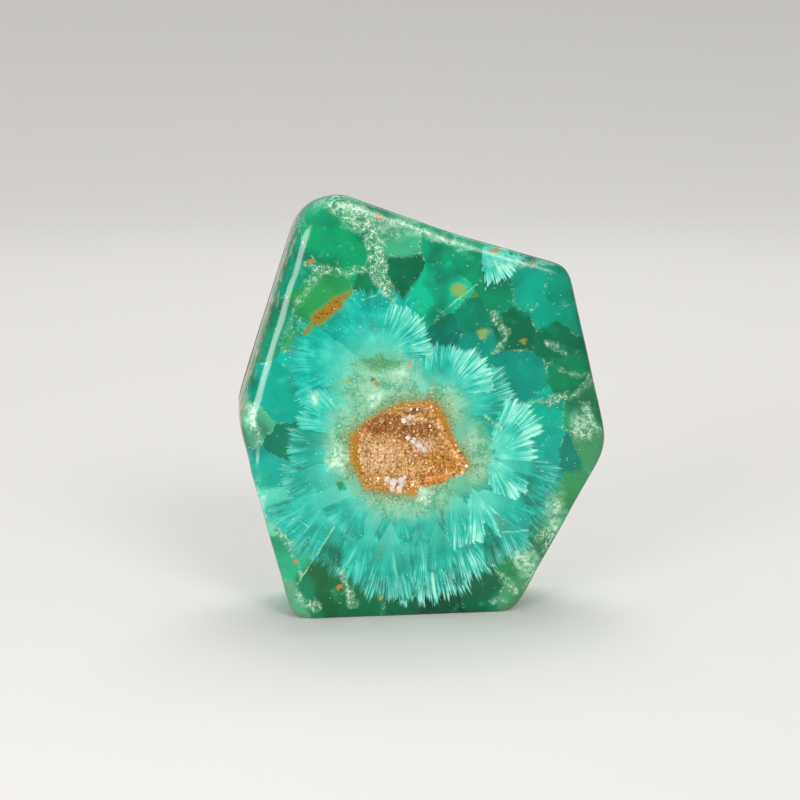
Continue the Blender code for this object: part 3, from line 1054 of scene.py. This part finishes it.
AMBER_STREAK = (
    ("foot", (303, 333), (316, 320), 0.0),
    ("middle", (318, 318), (336, 304), 1.0),
    ("top", (336, 304), (349, 293), 0.3),
)


def lay_milk(finish, colour, place, cloudy):
    for _, pixel, sides, strength in MILK:
        share = in_oval(place, pixel, sides).length()
        colour = finish.mix(share.step(1.3, 0.3) * cloudy * strength, colour, hue(196, 232, 208))
    return [colour]


def lay_spots(finish, colour, place):
    for _, pixel, sides, shade in SPOTS:
        share = in_oval(place, pixel, sides).length()
        colour = finish.mix(share.step(1.3, 0.5) * 0.85, colour, shade)
    return [colour]


streak = near_stretches(place + slow * 1.6 + quick * 1.2, AMBER_STREAK) + (cloud - 0.5) * 1.6
pitted = green.mix(grain.step(0.50, 0.34), hue(152, 106, 30), hue(78, 50, 14))
pitted = green.mix(streak.step(-0.7, 0.8), pitted, hue(112, 134, 54))
colour = green.mix(streak.step(1.1, 0.1) * near_face, colour, pitted)
(colour,) = green.box(lay_milk, colour, place + slow * 6.0 + quick * 2.0, blotch.step(0.34, 0.62) * 0.9 + 0.1)
(colour,) = green.box(lay_spots, colour, place + quick * 2.6 + slow * 1.6)
print("with spots", len(green.tree.nodes), "nodes")

# %% [markdown]
# Small bright specks are painted glints: white dots in the base colour where cracks and bubbles would catch the
# light, with more of them on the fans' tips and in the veins. Rusty ones are bits of iron. Both are Voronoi cells
# of which only a few, by their random colour, hold a dot. The left back was never polished: it keeps the brown
# rind that the stone had in the ground, without a coat.

# %% Specks and rind
RIND_OUT = Vector((-0.90, 0.42, 0.26)).normalized()
RIND_DEPTH = 1.7
BARK_DEPTH = 6.0  # streaks of rind run under the polish this much further in
SPECK_SIZE = 1.3
speck_place = place + quick * 0.8
speck = green.cells(speck_place, SPECK_SIZE)
speck_kind = green.split(green.cells(speck_place, SPECK_SIZE, output="Color"))[1]
painted_twinkle = (speck < 0.075) * speck_kind.step(0.50, 0.80) * cloud.step(0.42, 0.56)
glint_cell_gap = green.cells(speck_place, 0.7)
glint_cell_kind = green.split(green.cells(speck_place, 0.7, output="Color"))[0]
painted_glint = (glint_cell_gap < 0.13) * glint_cell_kind.step(0.55, 0.75) * (near_fan * along.step(0.45, 0.9) + vein * 0.7).at_most(1.0)
# painted highlight: the white twinkle and glint specks
colour = green.mix(painted_twinkle.at_least(painted_glint * near_face * 0.8), colour, hue(206, 240, 222))
colour = green.mix((speck < 0.10) * (speck_kind < 0.011), colour, hue(180, 116, 58))

reach = max(RIND_OUT.dot(vert.co) for vert in stone.data.vertices) / MM
height = spot.dot(RIND_OUT * 1000.0) + (cloud - 0.5) * 1.2
rind = height.step(reach - RIND_DEPTH - 0.5, reach - RIND_DEPTH + 0.2)
drawn_out = green.noise((place + quick * 0.6) * Vector((1.0, 1.0, 0.12)), 0.9, 3.0, 0.6)
bark = height.step(reach - RIND_DEPTH - BARK_DEPTH, reach - RIND_DEPTH - 2.0) * drawn_out.step(0.46, 0.54)
colour = green.mix(bark * 0.9, colour, green.mix(drawn_out.step(0.52, 0.60), hue(84, 70, 40), hue(206, 194, 158)))
earth = green.mix(grain, hue(84, 60, 40), hue(160, 126, 88))
earth = green.mix(cloud.step(0.42, 0.62) * 0.6, earth, hue(142, 128, 92))
earth = green.mix(blotch.step(0.56, 0.66) * 0.6, earth, hue(70, 46, 30))
colour = green.mix(rind, colour, earth)
green.fill(green.shader.inputs["Base Color"], colour)
polish = 1.0 - edge.step(2.0, 0.6) * near_face
green.fill(green.shader.inputs["Coat Weight"], (1.0 - rind) * polish)
green.fill(green.shader.inputs["Roughness"], 0.30 + rind * 0.4)
stone.data.materials.clear()
stone.data.materials.append(green.material)
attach(stone, "root")
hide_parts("stone")
print("the stone's finish has", len(green.tree.nodes), "nodes")

# %% [markdown]
# The sugar's finish takes each grain's tint from the attribute that its corners hold, and patches of browner,
# tanner, pinker or more orange sugar from placed ovals. The darkest and palest tints are random tone and partly
# painted light: shade between the grains and their glitter. The orange patch at the lower rim is a painted glow,
# and a thin dark line under the upper lip is a painted shadow. The grains stay glossy, because their glitter is
# what makes the middle look like sugar.

# %% The brown sugar's finish
SUGAR_PATCHES = (
    ("dark upper left", (382, 424), (30, 11), hue(158, 98, 38)),
    ("dark middle", (416, 432), (26, 9), hue(164, 102, 44)),
    ("tan", (380, 456), (24, 15), hue(226, 190, 142)),
    ("pink upper", (410, 421), (8, 4.5), hue(224, 184, 164)),
    ("pink middle", (424, 447), (11, 7), hue(226, 190, 172)),
    ("orange right", (444, 462), (20, 14), hue(202, 142, 62)),
    ("tan foot", (418, 472), (14, 7), hue(224, 174, 114)),
    # painted glow: orange light shining through the crust at its lower rim
    ("painted rim glow", (434, 480), (15, 5), hue(214, 138, 62)),
    # painted shadow: a thin dark line where the hollow's upper lip shades the sugar
    ("painted lip shadow", (413, 411), (11, 2.4), hue(120, 52, 22)),
)
PINK_WHITE = hue(230, 218, 208)
GREEN_WHITE = hue(190, 220, 196)
brown = Finish("brown_sugar", {"IOR": 1.6, "Roughness": 0.22, "Subsurface Weight": 0.1, "Subsurface Scale": MM})
brown_spot = brown.node("ShaderNodeTexCoord", {}, {}, "Object")
sugar_place = brown.node("ShaderNodeMapping", {"vector_type": "POINT"}, {**turned, "Vector": brown_spot})
sway = brown.noise(sugar_place, 1.8, 2.0, output="Color") - Vector((0.5, 0.5, 0.5))
sugar = brown.mix(0.0, hue(206, 156, 94), hue(206, 156, 94))
swayed = (sugar_place + sway * 3.0) * Vector((1.0, 0.0, 1.0))
for _, pixel, sides, shade in SUGAR_PATCHES:
    share = in_oval(swayed, pixel, sides).length()
    sugar = brown.mix(share.step(1.3, 0.6) * 0.85, sugar, shade)
tint = brown.node("ShaderNodeAttribute", {"attribute_name": "tint"}, {}, "Fac")
pale = brown.node("ShaderNodeAttribute", {"attribute_name": "pale"}, {}, "Fac")
# the darkest and palest tints: random tone, and partly painted shade between grains and painted glitter
sugar = brown.mix(tint.step(0.36, 0.0) * 0.7, sugar, hue(104, 54, 16))
sugar = brown.mix(tint.step(0.70, 1.0) * 0.6, sugar, hue(255, 226, 176))
sugar = brown.mix(pale, sugar, brown.mix(tint.step(0.0, 0.5), GREEN_WHITE, PINK_WHITE))
brown.fill(brown.shader.inputs["Base Color"], sugar)
crust.data.materials.clear()
crust.data.materials.append(brown.material)
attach(crust, "root")
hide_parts("druzy_crust")
print("the sugar's finish has", len(brown.tree.nodes), "nodes")

# %% [markdown]
# The stage is a sheet of pale paper that curves up all round, like a wide shallow bowl: the camera can go
# anywhere inside it and never sees an edge. Its profile is a row of vertices turned once round with spin.

# %% The paper
PAPER_FLAT = 1.6
PAPER_RISE = 1.4
PAPER_STEPS = 12
paper_shape = bmesh.new()
rim = [paper_shape.verts.new((0.0, 0.0, 0.0))]
for k in range(PAPER_STEPS + 1):
    turn = radians(90.0 * k / PAPER_STEPS)
    rim.append(paper_shape.verts.new((PAPER_FLAT + PAPER_RISE * sin(turn), 0.0, PAPER_RISE * (1.0 - cos(turn)))))
for first, second in zip(rim, rim[1:]):
    paper_shape.edges.new((first, second))
bmesh.ops.spin(
    paper_shape,
    geom=paper_shape.verts[:] + paper_shape.edges[:],
    axis=(0.0, 0.0, 1.0),
    cent=(0.0, 0.0, 0.0),
    angle=radians(360.0),
    steps=64,
    use_merge=True,
)
bmesh.ops.remove_doubles(paper_shape, verts=paper_shape.verts, dist=WELD * MM)
paper = to_object("paper", paper_shape)
paper.data.shade_smooth()
white = Finish("pale_paper", {"Base Color": hue(240, 238, 235), "Roughness": 0.9, "Specular IOR Level": 0.1})
paper.data.materials.append(white.material)
print("the paper is", 2 * (PAPER_FLAT + PAPER_RISE), "m wide")

# %% [markdown]
# The light is a large soft lamp from the front, a little to the right and above, which is where the
# photograph's shadow says it came from. A tall strip at the left draws the thin highlight along the soft
# edge. Plain colours are kept as they are by the Standard view.

# %% The light
LAMPS = (
    ("key", 12.0, 27.0, 2.4, (0.85, 0.85), 46.0, 1.6, (1.0, 0.98, 0.95)),
    ("left softbox", -36.0, 7.5, 0.8, (0.36, 0.30), 120.0, 1.8, (1.0, 1.0, 1.0)),
    ("rear", 165.0, 62.0, 2.2, (1.5, 1.5), 180.0, 22.0, (1.0, 1.0, 1.0)),
)
for name, azimuth, elevation, away, sides, spread, watts, tone in LAMPS:
    turn, rise = radians(azimuth), radians(elevation)
    towards = Vector((sin(turn) * cos(rise), -cos(turn) * cos(rise), sin(rise)))
    lamp = bpy.data.objects.new(name, bpy.data.lights.new(name, "AREA"))
    lamp.data.shape = "RECTANGLE"
    lamp.data.size, lamp.data.size_y = sides
    lamp.data.spread = radians(spread)
    lamp.data.energy = watts
    lamp.data.color = tone
    lamp.location = Vector((0.0, 0.0, 0.05)) + towards * away
    lamp.rotation_mode = "QUATERNION"
    lamp.rotation_quaternion = towards.to_track_quat("Z", "Y")
    bpy.context.scene.collection.objects.link(lamp)
world = bpy.data.worlds.new("soft_room")
world.use_nodes = True
world.node_tree.nodes["Background"].inputs["Color"].default_value = (1.0, 1.0, 1.0, 1.0)
world.node_tree.nodes["Background"].inputs["Strength"].default_value = 0.36
bpy.context.scene.world = world
bpy.context.scene.view_settings.view_transform = "Standard"
print("there are", len(LAMPS), "lamps")
